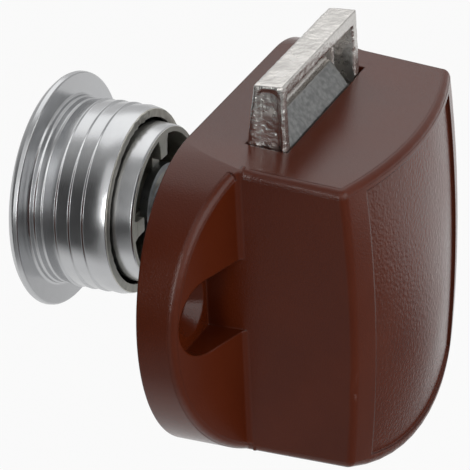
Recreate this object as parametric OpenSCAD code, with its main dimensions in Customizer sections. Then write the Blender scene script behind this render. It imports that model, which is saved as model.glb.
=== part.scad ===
// Pushbutton cabinet lock: a moulded housing screwed inside a cabinet door, a sprung bolt that rises
// out of its top edge, and a round push knob that reaches it through a rosette in the door.
// Origin: the knob axis on the face that lies against the door. +Y runs back into the cabinet,
// -Y out to the knob, +Z is the way the bolt comes out, X is the width. Millimetres.

/* [Housing outline] */
// Half of the housing's width across the two screw ears
half_w = 31.5; // [29:0.5:36]
// Height of the flat top edge above the knob axis
top_z = 17.8; // [17:0.1:20]
// Height at which the outline is widest
wide_z = -2; // [-4:0.5:0]
// Depth of the rounded lower edge below the knob axis
bottom_z = -27; // [-30:0.5:-26]
// Radius of the sides of the outline
side_r = 23; // [21:0.5:24]
// Radius of the upper corners of the outline
shoulder_r = 17; // [14:0.5:18]

/* [Housing body] */
// Half of the width of the raised body at the door face
body_half_w = 19.4; // [18.5:0.1:21]
// Depth of the body from the door face to the crown of its back
body_d = 26.1; // [25:0.1:32]
// Radius of the back across the width
back_r = 60; // [50:1:90]
// Radius of the back over the height
back_long_r = 200; // [150:5:300]
// Lean of each side wall, in degrees
side_lean = 1.8; // [0:0.2:3]
// Fall of the top face towards the back, in degrees
top_lean = 4.7; // [0:0.1:6]
// Rounding of the two upright edges of the back
edge_r = 1.2; // [1.1:0.1:2]
// Rounding of the other outer edges
round_r = 1; // [0.6:0.1:1]
// Thickness of the moulded walls
wall = 2; // [1.6:0.1:2.4]
// Half of the width of the grained panel on the back
panel_half_w = 14.4; // [10:0.1:16]
// Distance from the panel to the top and bottom edges of the back
panel_rim = 1.5; // [1.2:0.1:3]
// Depth of the panel below its rim
panel_depth = 0.4; // [0.2:0.1:0.8]

/* [Screw ears] */
// Height of the ear above the door face where it meets the body
ear_root_y = 8.6; // [7:0.1:10]
// Height of the ear above the door face at its outer edge
ear_tip_y = 4.9; // [4.5:0.1:6]
// Radius of the hollow fillet between an ear and the body
fillet_r = 1; // [0.6:0.1:1.4]
// Half of the distance between the two fixing screws
screw_x = 24; // [23.5:0.1:27]
// Radius of the hole for a fixing screw
screw_hole_r = 2.1; // [1.8:0.1:2.4]
// Radius of the countersink for its head
screw_head_r = 3.8; // [3.2:0.1:4.2]
// Radius of the round end of the screw pocket
pocket_r = 5; // [4.4:0.1:5.6]
// Centre of that round end
pocket_x = 25.4; // [24:0.1:28]
// Height of the pocket's floor above the door face
pocket_floor_y = 3.9; // [3:0.1:4.4]

/* [Bolt] */
// Half of the length of the bolt
bolt_half_l = 12.3; // [10:0.1:13]
// Front face of the bolt
bolt_front_y = 7; // [6.6:0.1:7.4]
// Thickness of the bolt where it leaves the housing
bolt_t = 5.3; // [4.6:0.1:6]
// Height of the bolt's top face when it is out
bolt_top_z = 25.5; // [24:0.1:27]
// Taper of the front of the bolt over the part that shows
bolt_taper = 1.3; // [0.5:0.1:1.8]
// Thickness of the two end posts round the bolt's rear pocket
post_t = 1.5; // [1.2:0.1:2]
// Thickness of the bar over that pocket
bar_t = 1.8; // [1.4:0.1:2.6]
// Free length of the bolt's slot beyond the bolt at the far end
slot_spare = 2.6; // [0.5:0.1:3]

/* [Movement] */
// Travel of the knob, and of the bolt, from locked to open
travel = 8.5; // [7:0.1:9]
// Extra push that frees the latch
overtravel = 1; // [0.6:0.1:1.2]
// Place of the trunnion pins along the knob axis when locked
trunnion_y = 16; // [15.5:0.1:16.5]
// Radius of the trunnion pins
trunnion_r = 1.5; // [1.2:0.1:1.8]
// Radius of the plunger
plunger_r = 4.5; // [4:0.1:4.8]

/* [Knob and rosette] */
// Thickness of the door between rosette and housing
door_t = 24.1; // [18:0.1:27]
// Radius of the rosette's barrel, for a 26 mm hole in the door
barrel_r = 12.55; // [12:0.05:12.9]
// Length of the barrel behind the flange
barrel_l = 11; // [9:0.1:16]
// Wall of the barrel
barrel_wall = 1.1; // [0.9:0.1:1.4]
// Radius of the rosette's flange
flange_r = 15.6; // [14.5:0.1:18]
// Thickness of the flange
flange_t = 1.75; // [1.4:0.05:2.5]
// Radius of the knob's skirt
skirt_r = 10.75; // [9:0.05:10.9]
// Wall of the skirt
skirt_wall = 1.1; // [0.9:0.1:1.6]
// Length of the knob
knob_l = 15.5; // [13:0.1:20]
// Number of ribs inside the knob
rib_count = 5; // [3:1:8]

/* [Hidden] */
$fn = 96;
// Running clearance round a shaft, gap between other moving faces, and overlap of a cut past a face
run = 0.05;
gap = 0.3;
cut = 1;

// Centres of the outline's arcs
side_x = half_w - side_r;
shoulder_z = top_z - shoulder_r;
shoulder_x = side_x + sqrt(pow(side_r - shoulder_r, 2) - pow(shoulder_z - wide_z, 2));
// The lower arc touches both side arcs and reaches bottom_z
drop = wide_z - bottom_z;
keel_r = (side_x * side_x + drop * drop - side_r * side_r) / (2 * (drop - side_r));
keel_z = bottom_z + keel_r;
// Height at which the shoulder arc runs into the side arc, and place at which the lower arc does
function shoulder_join_z(inset) =
    wide_z + (side_r - inset) * (shoulder_z - wide_z) / (side_r - shoulder_r);
function keel_join_x(inset) = side_x + (side_r - inset) * side_x / (keel_r - side_r);

// The back is part of a ring: its small radius is back_r and its axis runs along X
ring_r = back_long_r - back_r;
ring_y = body_d - back_long_r;
ring_z = -3;
// Depth from the crown of the back to its corners at the side walls
edge_drop = 4.9;
// Centre of the rounding of an upright back edge over X and the ring's radius, and where it meets the back
edge_x = body_half_w - (body_d - edge_drop) * tan(side_lean) - edge_r;
edge_rad = ring_r + sqrt(pow(back_r - edge_r, 2) - edge_x * edge_x);
meet_x = edge_x * back_r / (back_r - edge_r);
// Height of the top face over the depth y
function top_at(y) = top_z - y * tan(top_lean);
// Half width of the body at the depth y
function side_at(y) = body_half_w - y * tan(side_lean);
// Depth of the body's root in the slab of the ears
body_root = 0.6;

// Fall of the ears outwards, and where their two planes would meet over the knob axis
ear_slope = (ear_root_y - ear_tip_y) / (half_w - body_half_w);
ear_peak_y = ear_root_y + ear_slope * body_half_w;

// Cavity inside the body
cavity_half_w = body_half_w - wall - 0.2;
// Base plate let into the open front of the body
plate_t = 1.6;
plate_ledge = 1.3;
plate_screw_x = cavity_half_w - 2;
plate_screw_top_z = top_z - 7.3;
plate_screw_low_z = bottom_z + 11.5;
plate_screw_r = 1.1;
plate_screw_head_r = 2;
plate_screw_l = 9;

// Bolt and what guides it
bolt_back_y = bolt_front_y + bolt_t;
slot_front_y = bolt_front_y - 0.4;
slot_back_y = bolt_back_y + 0.7;
rail_x = bolt_half_l + gap;
rail_t = 1.5;
boss_r = plate_screw_x - rail_x - 0.1;
rail_ledge = 1.8;
leg_low_z = -11;
leg_inner_x = plunger_r + 0.9;
guide_x = rail_x - 0.2;
pocket_front_y = bolt_front_y + 2.2;
slot_z = top_at(bolt_back_y);
// Window in the bolt for the plunger, over the whole movement
window_top_z = travel + plunger_r + 0.4;
cheek_t = 2;
cheek_margin = 3;
pin_out_x = leg_inner_x + cheek_t + 0.1;
track_sum = trunnion_y;

// Plunger, its bush and its stop
plunger_front_y = -3;
plunger_back_y = trunnion_y + 3.5;
bush_wall = 1.4;
bush_flange_r = plunger_r + bush_wall + 0.8;
bush_back_y = plate_t + 1.6;
buffer_t = 1.2;
buffer_r = plunger_r + 0.7;
collar_y = bush_back_y + buffer_t + travel + 0.1;
collar_t = 1.4;
collar_r = plunger_r + 0.6;
spring_bore_r = 2.6;
spring_bore_y = 7;
spring_r = 2.1;
spring_wire_r = 0.3;
spring_turns = 13;
guide_pin_r = 1.2;
guide_pin_tip_y = 10;
seat_y = body_d - 4.2;
seat_r = 3.4;

// Latch below the plunger
latch_arm_half_w = leg_inner_x - 0.5;
latch_top_z = -bush_flange_r - 0.2;
latch_arm_t = 2.2;
latch_groove = 1;
latch_groove_r = 0.65;
latch_foot_half_w = 7.4;
latch_foot_low_z = -16;
latch_screw_x = 4.6;
latch_screw_z = -13;
latch_screw_r = 1;
latch_screw_head_r = 1.8;
wire_r = 0.4;
wire_z = latch_top_z + wire_r + 0.6;
wire_back_y = 17.6;
wire_tip_y = 12.4;
wire_lug_half_w = 1.6;
wire_lug_l = 2.4;
// The wire's pin lies across a notch in the top of the wire
wire_pin_r = 0.35;
wire_pin_y = wire_back_y - wire_lug_l / 2;
wire_pin_z = wire_z + wire_r + wire_pin_r - 0.2;
heart_half_w = 2.2;
heart_l = 4.4;

// Spindle, knob and rosette
flange_back_y = -door_t;
knob_front_y = flange_back_y - flange_t;
knob_back_y = knob_front_y + knob_l;
spindle_r = 2.5;
spindle_front_y = knob_front_y + 3.6;
spindle_back_y = 5;
spindle_pin_r = 0.8;
spindle_pin_y = 1;
groove_pitch = 1.6;
groove_depth = 0.35;
hub_r = 4.6;
hub_back_y = knob_back_y - 0.2;
face_t = 1.8;
rib_t = 1.6;
rib_back_y = knob_back_y - 2.6;
rib_step_y = knob_back_y - 1.6;
ring_clip_t = 0.8;
ring_clip_l = 1.2;
lip_r = skirt_r + 0.3;

// A vector at the length 1, and the mirror image of a vector across the middle
function unit(v) = v / norm(v);
function mirrored(v) = [-v[0], v[1], v[2]];

// Section of a cutter that rounds an edge: c is a point of the sharp edge, n1 and n2 the outward
// directions of its two faces. The arc is the rounding, and it just bites into both faces.
function round_section(c, n1, n2) =
    let (bite = 0.03, out = 0.4, steps = 5, r = round_r)
    let (centre = c - (r + bite) * (n1 + n2) / (1 + n1 * n2), spread = acos(n1 * n2))
    let (across = unit(n2 - (n1 * n2) * n1))
    concat(
        [centre + (r + out) * n1],
        [for (i = [0 : steps]) let (a = spread * i / steps) centre + r * (cos(a) * n1 + sin(a) * across)],
        [centre + (r + out) * n2, c + out * (n1 + n2)]
    );

// Cutter that rounds one edge, as a skin over sections that all have as many points
module round_cutter(sections) {
    count = len(sections[0]);
    last = len(sections) - 1;
    skin = [
        for (i = [0 : last - 1], j = [0 : count - 1])
            let (k = (j + 1) % count)
            each [
                [i * count + j, (i + 1) * count + j, i * count + k],
                [(i + 1) * count + j, (i + 1) * count + k, i * count + k]
            ]
    ];
    first_end = [for (j = [0 : count - 1]) j];
    last_end = [for (j = [count - 1 : -1 : 0]) last * count + j];
    corners = [for (s = sections) each s];
    polyhedron(points = corners, faces = concat(skin, [first_end, last_end]), convexity = 10);
}

// Turns a shape drawn in X and Z into a slab from y0 to y1
module slab(y0, y1) {
    translate([0, y1, 0])
        rotate([90, 0, 0])
            linear_extrude(y1 - y0)
                children();
}

// Turns a shape drawn in Y and Z into a bar from x0 to x1
module bar(x0, x1) {
    translate([x0, 0, 0])
        rotate([90, 0, 90])
            linear_extrude(x1 - x0)
                children();
}

// The same bar from x0 to x1, on both sides of the middle
module both_sides(x0, x1) {
    bar(x0, x1) children();
    bar(-x1, -x0) children();
}

// Turns a profile of radius and place along Y into a round body on the knob axis
module turned() {
    rotate([-90, 0, 0])
        rotate_extrude()
            children();
}

// A round bar along Y from y0 to y1
module rod(r, y0, y1) {
    translate([0, y0, 0])
        rotate([-90, 0, 0])
            cylinder(r = r, h = y1 - y0);
}

// Front outline of the housing, drawn in X and Z and moved inwards by inset
module outline(inset = 0) {
    intersection() {
        union() {
            for (s = [-1, 1])
                translate([s * side_x, wide_z])
                    circle(side_r - inset);
            translate([-side_x, wide_z])
                square([2 * side_x, side_r - inset]);
            translate([-keel_join_x(inset), bottom_z - cut])
                square([2 * keel_join_x(inset), drop + cut]);
        }
        union() {
            for (s = [-1, 1])
                translate([s * shoulder_x, shoulder_z])
                    circle(shoulder_r - inset);
            translate([-shoulder_x, shoulder_z])
                square([2 * shoulder_x, shoulder_r - inset]);
            translate([-2 * half_w, bottom_z - cut])
                square([4 * half_w, shoulder_join_z(inset) - bottom_z + cut]);
        }
        translate([0, keel_z])
            circle(keel_r - inset);
    }
}

// The ring whose outer skin is the curved back, with its small radius reduced by inset
module back_ring(inset = 0) {
    translate([0, ring_y, ring_z])
        rotate([0, 90, 0])
            rotate_extrude()
                translate([ring_r, 0])
                    circle(back_r - inset);
}

// Everything below the sloping top face, moved down by inset
module under_top(inset = 0) {
    big = 4 * half_w;
    translate([0, 0, top_z - inset])
        rotate([-top_lean, 0, 0])
            translate([-big / 2, -big / 2, -big])
                cube(big);
}

// Both leaning side walls as the faces of one wedge
module between_sides(inset = 0) {
    low = -cut;
    high = body_d + cut;
    slabs = 2 * half_w;
    translate([0, 0, -slabs])
        linear_extrude(2 * slabs)
            polygon([
                [-side_at(low) + inset, low],
                [side_at(low) - inset, low],
                [side_at(high) - inset, high],
                [-side_at(high) + inset, high]
            ]);
}

// Back profile of the body: the ring's skin, rounded over into the side walls
module back_profile() {
    intersection() {
        translate([ring_r, 0])
            circle(back_r);
        translate([0, -meet_x])
            square([2 * back_long_r, 2 * meet_x]);
    }
    for (s = [-1, 1])
        translate([edge_rad, s * edge_x])
            circle(edge_r);
    translate([0, -half_w])
        square([edge_rad, 2 * half_w]);
}

// Everything in front of the curved back
module in_front_of_back() {
    translate([0, ring_y, ring_z])
        rotate([0, 90, 0])
            rotate_extrude()
                back_profile();
}

// Height and outward direction of the body's upper face, or of its lower face for s = -1
function face_z(s, x, y) =
    s > 0
        ? min(top_at(y), shoulder_z + sqrt(pow(shoulder_r, 2) - pow(max(x - shoulder_x, 0), 2)))
        : x < keel_join_x(0)
            ? keel_z - sqrt(keel_r * keel_r - x * x)
            : wide_z - sqrt(side_r * side_r - pow(x - side_x, 2));
function face_out(s, x, y) =
    let (z = face_z(s, x, y))
    s > 0
        ? z < top_at(y) - 0.001
            ? unit([max(x - shoulder_x, 0), 0, z - shoulder_z])
            : [0, sin(top_lean), cos(top_lean)]
        : unit(x < keel_join_x(0) ? [x, 0, z - keel_z] : [x - side_x, 0, z - wide_z]);

// Section at the place x and radius rad of the curved back, whose outward direction there is given
// across the width and along the radius
function back_section(s, x, rad, across, along) =
    let (rough = face_z(s, x, ring_y + rad))
    let (y = ring_y + sqrt(rad * rad - pow(rough - ring_z, 2)), z = face_z(s, x, y))
    let (out = [across, along * (y - ring_y) / rad, along * (z - ring_z) / rad])
    round_section([x, y, z], face_out(s, x, y), out);

// Sections from the side wall at +X round the corner to the middle of the back
function half_rim(s) =
    let (turn = 90 - asin(edge_x / (back_r - edge_r)), corner_steps = 4, back_steps = 6)
    let (front = ear_root_y - 2 * body_root, back = body_d - edge_drop - edge_r)
    let (wall_out = [cos(side_lean), sin(side_lean), 0])
    concat(
        [
            for (y = [front, front + 1.5, front + 3, back])
                let (x = side_at(y))
                round_section([x, y, face_z(s, x, y)], face_out(s, x, y), wall_out)
        ],
        [
            for (i = [0 : corner_steps])
                let (a = turn * i / corner_steps)
                back_section(s, edge_x + edge_r * cos(a), edge_rad + edge_r * sin(a), cos(a), sin(a))
        ],
        [
            for (i = [1 : back_steps])
                let (x = meet_x * (1 - i / back_steps), along = sqrt(back_r * back_r - x * x))
                back_section(s, x, ring_r + along, x / back_r, along / back_r)
        ]
    );

// Cutter for the edge between that face and the walls and the back
module rim_cutter(s) {
    right = half_rim(s);
    left = [for (section = right) [for (p = section) mirrored(p)]];
    first = s > 0 ? left : right;
    second = s > 0 ? right : left;
    round_cutter(concat(first, [for (i = [len(second) - 2 : -1 : 0]) second[i]]));
}

// Raised body of the housing without its hollow, from just inside the slab of the ears
module body_block() {
    difference() {
        difference() {
            intersection() {
                slab(ear_root_y - body_root, body_d + cut) outline();
                under_top();
                between_sides();
                in_front_of_back();
            }
            rim_cutter(1);
        }
        rim_cutter(-1);
    }
}

// Sloping slab that carries both screw ears
module ear_block() {
    intersection() {
        slab(0, ear_root_y) outline();
        translate([0, 0, -2 * half_w])
            linear_extrude(4 * half_w)
                polygon([
                    [-half_w - cut, -cut],
                    [half_w + cut, -cut],
                    [half_w + cut, ear_tip_y - ear_slope * cut],
                    [0, ear_peak_y],
                    [-half_w - cut, ear_tip_y - ear_slope * cut]
                ]);
    }
}

// Hollow fillet between each ear and the side wall above it: its circle just cuts both faces
module ear_fillets() {
    r = fillet_r;
    bite = 0.02;
    fall = atan(ear_slope);
    wall_reach = r - bite + body_half_w * cos(side_lean);
    ear_reach = r - bite + ear_peak_y * cos(fall);
    across = cos(side_lean + fall);
    centre = [
        (wall_reach * cos(fall) - ear_reach * sin(side_lean)) / across,
        (ear_reach * cos(side_lean) - wall_reach * sin(fall)) / across
    ];
    on_wall = centre - r * [cos(side_lean), sin(side_lean)];
    on_ear = centre - r * [sin(fall), cos(fall)];
    inside = wall / 2;
    intersection() {
        slab(0, body_d) outline();
        for (s = [0, 1])
            mirror([s, 0, 0])
                translate([0, 0, -2 * half_w])
                    linear_extrude(4 * half_w)
                        difference() {
                            polygon([
                                centre,
                                on_wall,
                                on_wall - [inside, 0],
                                [on_wall[0] - inside, on_ear[1] - inside],
                                on_ear - [0, inside],
                                on_ear
                            ]);
                            translate(centre)
                                circle(r);
                        }
    }
}

// Sections on an arc of the outline, each with the arc's outward direction
function ear_sections(centre, r, a0, a1, steps) = [
    for (i = [1 : steps])
        let (a = a0 + (a1 - a0) * i / steps, x = centre[0] + r * cos(a))
        round_section(
            [x, ear_peak_y - ear_slope * x, centre[1] + r * sin(a)],
            [cos(a), 0, sin(a)],
            unit([ear_slope, 1, 0])
        )
];

// Cutter for the outer edge of the ear at +X
module ear_cutter() {
    inner = side_at(ear_root_y) - body_root;
    top_a = acos((inner - shoulder_x) / shoulder_r);
    join_a = atan2(shoulder_z - wide_z, shoulder_x - side_x);
    low_a = atan2(wide_z - keel_z, side_x);
    keel_a = -acos(inner / keel_r);
    round_cutter(concat(
        ear_sections([shoulder_x, shoulder_z], shoulder_r, top_a, join_a, 12),
        ear_sections([side_x, wide_z], side_r, join_a, low_a, 24),
        ear_sections([0, keel_z], keel_r, low_a, keel_a, keel_a < low_a ? 2 : 0)
    ));
}

// Both ears with their outer edges rounded
module rounded_ears() {
    difference() {
        difference() {
            union() {
                ear_block();
                ear_fillets();
            }
            ear_cutter();
        }
        mirror([1, 0, 0])
            ear_cutter();
    }
}

// Pocket for a fixing screw in the ear at +X, as far as the body's side wall
module screw_pocket() {
    translate([pocket_x, 0, 0])
        rod(pocket_r, pocket_floor_y, ear_root_y + 2 * cut);
    difference() {
        translate([body_half_w - wall, pocket_floor_y, -pocket_r])
            cube([pocket_x - body_half_w + wall, ear_root_y + 2 * cut - pocket_floor_y, 2 * pocket_r]);
        between_sides();
    }
}

// Hole for that screw, countersunk from the pocket's floor
module screw_hole() {
    sink = screw_head_r - screw_hole_r;
    translate([screw_x, 0, 0]) {
        rod(screw_hole_r, -cut, pocket_floor_y + cut);
        translate([0, pocket_floor_y - sink, 0])
            rotate([-90, 0, 0])
                cylinder(r1 = screw_hole_r, r2 = screw_head_r, h = sink);
    }
}

// Hollow of the body, open at the door face
module cavity() {
    intersection() {
        slab(-cut, body_d) outline(wall);
        under_top(wall);
        back_ring(wall);
        translate([-cavity_half_w, -cut, -half_w])
            cube([2 * cavity_half_w, body_d + cut, 2 * half_w]);
    }
}

// Recess for the grained panel on the back
module panel_recess() {
    difference() {
        intersection() {
            slab(body_d / 2, body_d + cut) outline(panel_rim);
            under_top(panel_rim);
            translate([-panel_half_w, 0, -half_w])
                cube([2 * panel_half_w, 2 * body_d, 2 * half_w]);
        }
        back_ring(panel_depth);
    }
}

// Hollows under the ears, open at the door face
module ear_cores() {
    rib = 1.6;
    intersection() {
        slab(-cut, ear_tip_y - wall) outline(wall);
        for (s = [-1, 1], t = [-1, 1])
            translate([s > 0 ? body_half_w + 0.6 : -half_w, -cut, t > 0 ? pocket_r + rib : -half_w])
                cube([half_w - body_half_w - 0.6, ear_tip_y, half_w - pocket_r - rib]);
    }
}

// Opening in the top face that the bolt passes through
module bolt_slot() {
    translate([-bolt_half_l - slot_spare, slot_front_y, top_z - 3 * wall])
        cube([2 * bolt_half_l + slot_spare + gap, slot_back_y - slot_front_y, 4 * wall]);
}

// Columns for the base plate's screws, rails beside the bolt and the seat of the return spring
module inner_ribs() {
    intersection() {
        union() {
            for (s = [-1, 1]) {
                for (z = [plate_screw_low_z, plate_screw_top_z])
                    translate([s * plate_screw_x, 0, z])
                        rod(boss_r, plate_t, body_d);
                translate([s > 0 ? rail_x : -rail_x - rail_t, plate_t, plate_screw_low_z])
                    cube([rail_t, body_d, plate_screw_top_z - plate_screw_low_z]);
                translate([s > 0 ? rail_x - rail_ledge : -rail_x, bolt_back_y + gap, leg_low_z])
                    cube([rail_ledge, rail_t, plate_screw_top_z - leg_low_z]);
            }
            rod(seat_r, seat_y, body_d);
        }
        slab(plate_t, body_d) outline(wall / 2);
        under_top(wall / 2);
        back_ring(wall / 2);
    }
}

// Seat of the base plate in the open front: straight sides and top, and the housing's lower curve
module plate_outline(clear = 0) {
    r = 3;
    half = cavity_half_w + plate_ledge / 2 - clear;
    high = top_z - 2.4 - clear;
    intersection() {
        outline(wall - plate_ledge / 2 + clear);
        union() {
            for (s = [-1, 1])
                translate([s * (half - r), high - r])
                    circle(r);
            translate([-half + r, bottom_z])
                square([2 * (half - r), high - bottom_z]);
            translate([-half, bottom_z])
                square([2 * half, high - r - bottom_z]);
        }
    }
}

module housing() {
    color("#6b2f1e")
        difference() {
            union() {
                difference() {
                    union() {
                        body_block();
                        difference() {
                            rounded_ears();
                            for (s = [0, 1])
                                mirror([s, 0, 0])
                                    screw_pocket();
                        }
                    }
                    cavity();
                }
                inner_ribs();
            }
            slab(-cut, plate_t) plate_outline();
            ear_cores();
            bolt_slot();
            panel_recess();
            for (s = [0, 1])
                mirror([s, 0, 0])
                    screw_hole();
            for (s = [-1, 1], z = [plate_screw_low_z, plate_screw_top_z])
                translate([s * plate_screw_x, 0, z])
                    rod(plate_screw_r + run, 0, plate_screw_l + 0.5);
            rod(guide_pin_r, 0, seat_y + 2);
        }
}

// Plate that closes the front of the housing and carries the plunger's bush
module base_plate() {
    color("#8f9296")
        difference() {
            union() {
                slab(0, plate_t) plate_outline(0.15);
                for (s = [-1, 1])
                    translate([s > 0 ? guide_x - rail_ledge : -guide_x, plate_t - 0.2, leg_low_z])
                        cube([rail_ledge, bolt_front_y - gap - plate_t + 0.2, 18]);
            }
            rod(plunger_r + bush_wall, -cut, plate_t + cut);
            for (s = [-1, 1]) {
                for (z = [plate_screw_low_z, plate_screw_top_z])
                    translate([s * plate_screw_x, 0, z])
                        plate_screw_hole();
                translate([s * latch_screw_x, 0, latch_screw_z])
                    rod(latch_screw_r, -cut, plate_t + cut);
            }
        }
}

// Hole and countersink in the base plate for one of its screws
module plate_screw_hole() {
    depth = plate_screw_head_r - plate_screw_r;
    rod(plate_screw_r + run, -cut, plate_t + cut);
    rotate([-90, 0, 0])
        cylinder(r1 = plate_screw_head_r + run, r2 = plate_screw_r + run, h = depth);
}

// Countersunk screw with a cross recess, head at the door face and point into the housing
module plate_screw() {
    head_t = plate_screw_head_r - plate_screw_r;
    slot_w = 0.5;
    difference() {
        turned()
            polygon([
                [0, 0],
                [plate_screw_head_r, 0],
                [plate_screw_r, head_t],
                [plate_screw_r, plate_screw_l - 1.4],
                [0.2, plate_screw_l],
                [0, plate_screw_l]
            ]);
        for (a = [0, 90])
            rotate([0, a, 0])
                translate([-1.1, -cut, -slot_w / 2])
                    cube([2.2, cut + 0.7, slot_w]);
    }
}

module base_plate_screws() {
    color("silver")
        for (s = [-1, 1], z = [plate_screw_low_z, plate_screw_top_z])
            translate([s * plate_screw_x, 0, z])
                plate_screw();
}

// Side view of the bolt where it shows: thicker at the housing than at its top
module bolt_profile() {
    front_top_y = bolt_front_y + bolt_taper;
    polygon([
        [bolt_front_y, leg_low_z],
        [bolt_back_y, leg_low_z],
        [bolt_back_y, slot_z],
        [bolt_back_y - 0.2, bolt_top_z],
        [front_top_y, bolt_top_z - 0.2],
        [bolt_front_y, slot_z]
    ]);
}

// Pocket in the back of the bolt, with the ramp that rises to its front wall
module bolt_pocket() {
    ramp_z = slot_z + 3;
    ramp_y = bolt_back_y - 2.4;
    far_x = -bolt_half_l + post_t;
    near_x = bolt_half_l - post_t;
    step_x = far_x + 2.2;
    bar(far_x, near_x)
        polygon([
            [bolt_back_y + cut, slot_z - 0.6 - cut],
            [ramp_y, ramp_z],
            [pocket_front_y, ramp_z],
            [pocket_front_y, bolt_top_z - bar_t],
            [bolt_back_y + cut, bolt_top_z - bar_t]
        ]);
    translate([far_x, pocket_front_y, slot_z - 1.5])
        cube([step_x - far_x, bolt_t, bolt_top_z - bar_t - slot_z + 1.5]);
}

// Shallow panel with round upper corners in each end of the bolt
module bolt_end_panel() {
    depth = 0.35;
    rim = 0.75;
    r = 1;
    front = bolt_front_y + bolt_taper + rim - 0.25;
    back = bolt_back_y - rim;
    low = slot_z - 2;
    both_sides(bolt_half_l - depth, bolt_half_l + cut) {
        translate([front, low])
            square([back - front, bolt_top_z - rim - r - low]);
        translate([front + r, low])
            square([back - front - 2 * r, bolt_top_z - rim - low]);
        for (y = [front + r, back - r])
            translate([y, bolt_top_z - rim - r])
                circle(r);
    }
}

// Slanting slot that a trunnion pin runs in, drawn in Y and Z
module trunnion_track(r) {
    open_y = trunnion_y - travel - 0.1;
    shut_y = trunnion_y + overtravel + 0.1;
    length = (shut_y - open_y) * sqrt(2);
    for (y = [open_y, shut_y])
        translate([y, track_sum - y])
            circle(r);
    translate([shut_y, track_sum - shut_y])
        rotate(135)
            translate([0, -r])
                square([length, 2 * r]);
}

// Outline of a cheek plate round that slot, drawn in Y and Z
module cheek_outline() {
    front = trunnion_y - travel - 0.1 - trunnion_r - 2;
    back = trunnion_y + overtravel + 0.1 + trunnion_r + 1.8;
    low = track_sum - (trunnion_y + overtravel) - trunnion_r - 1.9;
    high = travel + trunnion_r + 2.1;
    upper = track_sum + cheek_margin * sqrt(2);
    lower = track_sum - cheek_margin * sqrt(2);
    polygon([
        [front, lower - front],
        [front, high],
        [upper - high, high],
        [back, upper - back],
        [back, low],
        [lower - low, low]
    ]);
}

module bolt() {
    window_half = leg_inner_x;
    color("#c9c6c0")
        difference() {
            union() {
                bar(-bolt_half_l, bolt_half_l) bolt_profile();
                both_sides(leg_inner_x, leg_inner_x + cheek_t) cheek_outline();
            }
            translate([-window_half, 0, leg_low_z - cut])
                cube([2 * window_half, body_d, window_top_z - leg_low_z + cut]);
            bolt_pocket();
            bolt_end_panel();
            both_sides(leg_inner_x - cut, pin_out_x + 0.2) trunnion_track(trunnion_r + run);
        }
}

// Bowed leaf springs between base plate and bolt, which keep the bolt from rattling
module bolt_leaf_springs() {
    leaf_t = 0.4;
    leaf_w = 2;
    leaf_x = (leg_inner_x + cheek_t + guide_x - rail_ledge - leaf_w) / 2;
    half_h = 7;
    bow = bolt_front_y - plate_t - leaf_t - 0.2;
    bow_r = (half_h * half_h + bow * bow) / (2 * bow);
    centre_y = plate_t + leaf_t + bow - bow_r;
    color("#b9bcc0")
        both_sides(leaf_x, leaf_x + leaf_w)
            difference() {
                intersection() {
                    translate([centre_y, -1])
                        circle(bow_r);
                    translate([plate_t + 0.02, -1 - half_h])
                        square([bolt_t, 2 * half_h]);
                }
                translate([centre_y, -1])
                    circle(bow_r - leaf_t);
            }
}

// Plunger: front socket for the spindle, stop collar, and a bore behind for the return spring
module plunger() {
    color("#e9e6dc")
        difference() {
            union() {
                rod(plunger_r, plunger_front_y, plunger_back_y);
                rod(collar_r, collar_y, collar_y + collar_t);
                translate([-wire_lug_half_w, wire_back_y - wire_lug_l, latch_top_z + gap])
                    cube([2 * wire_lug_half_w, wire_lug_l, -latch_top_z - gap - spring_bore_r - 1]);
            }
            rod(spindle_r + run, plunger_front_y - cut, spindle_back_y + 0.2);
            rod(spring_bore_r, spring_bore_y, plunger_back_y + cut);
            translate([-plunger_r - cut, spindle_pin_y, 0])
                rotate([0, 90, 0])
                    cylinder(r = spindle_pin_r, h = 2 * plunger_r + 2 * cut);
            for (s = [-1, 1])
                translate([s * (spring_bore_r - cut), trunnion_y, 0])
                    rotate([0, s * 90, 0])
                        cylinder(r = trunnion_r, h = plunger_r + cut);
            translate([0, 0, wire_z])
                rod(wire_r, wire_back_y - wire_lug_l - cut, wire_back_y - 0.4);
            wire_pin_rod();
        }
}

// Bush in the base plate that the plunger slides in
module plunger_bush() {
    color("#c7a84f")
        difference() {
            union() {
                rod(plunger_r + bush_wall, 0, bush_back_y);
                rod(bush_flange_r, plate_t, bush_back_y);
            }
            rod(plunger_r + run, -cut, bush_back_y + cut);
        }
}

// Soft ring that the plunger's collar lands on
module stop_buffer() {
    color("#26262a")
        difference() {
            rod(buffer_r, bush_back_y, bush_back_y + buffer_t);
            rod(plunger_r + 0.15, bush_back_y - cut, bush_back_y + buffer_t + cut);
        }
}

module trunnion_pins() {
    color("silver")
        for (s = [-1, 1])
            translate([s * (spring_bore_r + 0.2), trunnion_y, 0])
                rotate([0, s * 90, 0])
                    cylinder(r = trunnion_r, h = pin_out_x - spring_bore_r - 0.2);
}

// Place on the spring's centre line after the turn t
function coil_at(t, y0, y1, turns) =
    [spring_r * cos(360 * t), y0 + (y1 - y0) * t / turns, spring_r * sin(360 * t)];

// Point of the wire's round section at the angle a
function coil_skin(t, a, y0, y1, turns) =
    let (along = (y1 - y0) / turns / (2 * PI * spring_r), tilt = atan(along))
    let (radial = [cos(360 * t), 0, sin(360 * t)])
    let (side = [-sin(360 * t) * sin(-tilt), cos(tilt), cos(360 * t) * sin(-tilt)])
    coil_at(t, y0, y1, turns) + spring_wire_r * (cos(a) * radial + sin(a) * side);

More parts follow.
